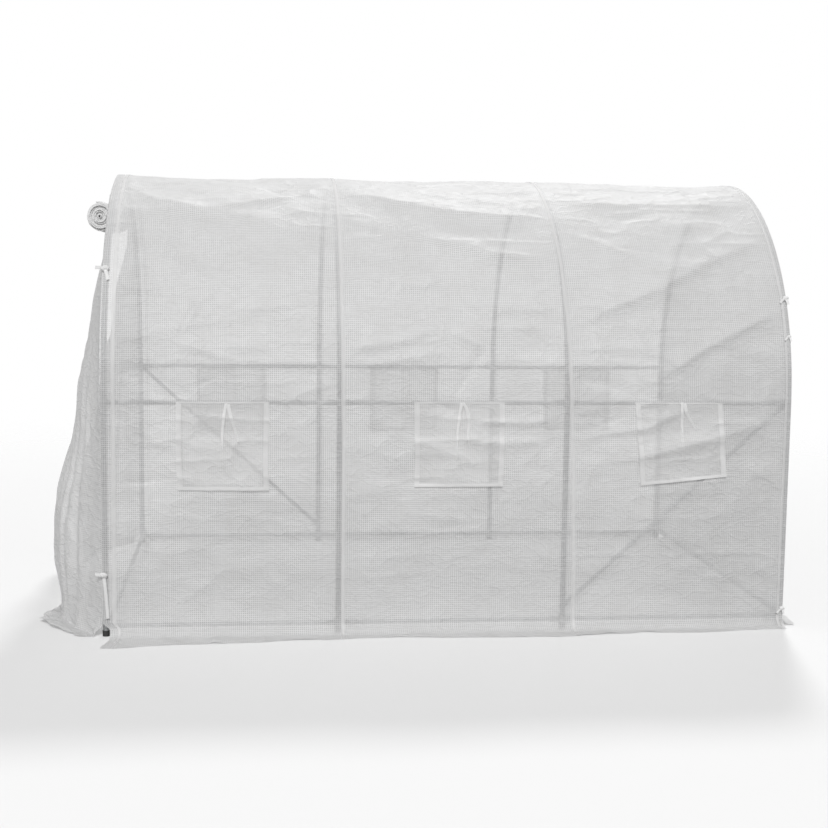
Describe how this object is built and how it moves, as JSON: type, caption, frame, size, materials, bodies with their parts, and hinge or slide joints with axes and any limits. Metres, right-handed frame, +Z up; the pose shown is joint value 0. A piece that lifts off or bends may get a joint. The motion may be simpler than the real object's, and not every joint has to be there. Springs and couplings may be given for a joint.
{
  "type": "polytunnel greenhouse",
  "caption": "walk-in hooped tunnel greenhouse with a galvanised tube frame under a grid-reinforced film cover, side windows with flaps, floor skirts and a rolled-up end door",
  "frame": {"origin": "middle of the whole footprint, skirts included, at floor level", "axes": "X along the tunnel with the rolled-up door at the -X end, Y across with the braced last-bay wall at -Y, Z up"},
  "size_m": [3.3974, 2.3116, 2.0166],
  "materials": {
    "steel": "galvanised tube with a dull zinc sheen",
    "cap_plastic": "black moulded plastic",
    "film": "translucent white film reinforced with a fine woven grid",
    "door_film": "the same reinforced film, rolled up in many layers",
    "tape": "white sewn tape",
    "screen": "fine white insect mesh"
  },
  "bodies": {
    "root": {"hoop_1_front_post": "steel", "hoop_1_arch": "steel", "hoop_1_back_post": "steel", "hoop_2_front_post": "steel", "hoop_2_arch": "steel", "hoop_2_back_post": "steel", "hoop_3_front_post": "steel", "hoop_3_arch": "steel", "hoop_3_back_post": "steel", "hoop_4_front_post": "steel", "hoop_4_arch": "steel", "hoop_4_back_post": "steel", "foot_caps": "cap_plastic", "ridge_rail": "steel", "front_mid_rail": "steel", "back_mid_rail": "steel", "front_ground_rail": "steel", "back_ground_rail": "steel", "door_end_ground_rail": "steel", "far_end_ground_rail": "steel", "front_brace": "steel", "back_brace": "steel", "roof_1": "film", "roof_2": "film", "roof_3": "film", "front_wall_1": "film", "front_wall_2": "film", "front_wall_3": "film", "back_wall_1": "film", "back_wall_2": "film", "back_wall_3": "film", "door_end_panel_front": "film", "door_end_panel_back": "film", "door_end_header": "film", "door_roll": "door_film", "door_roll_ties": "tape", "far_end_panel": "film", "front_window_screens": "screen", "back_window_screens": "screen", "front_window_flaps": "film", "back_window_flaps": "film", "window_strips": "tape", "window_ties": "tape", "cover_seam_tapes": "tape"}
  },
  "joints": []
}
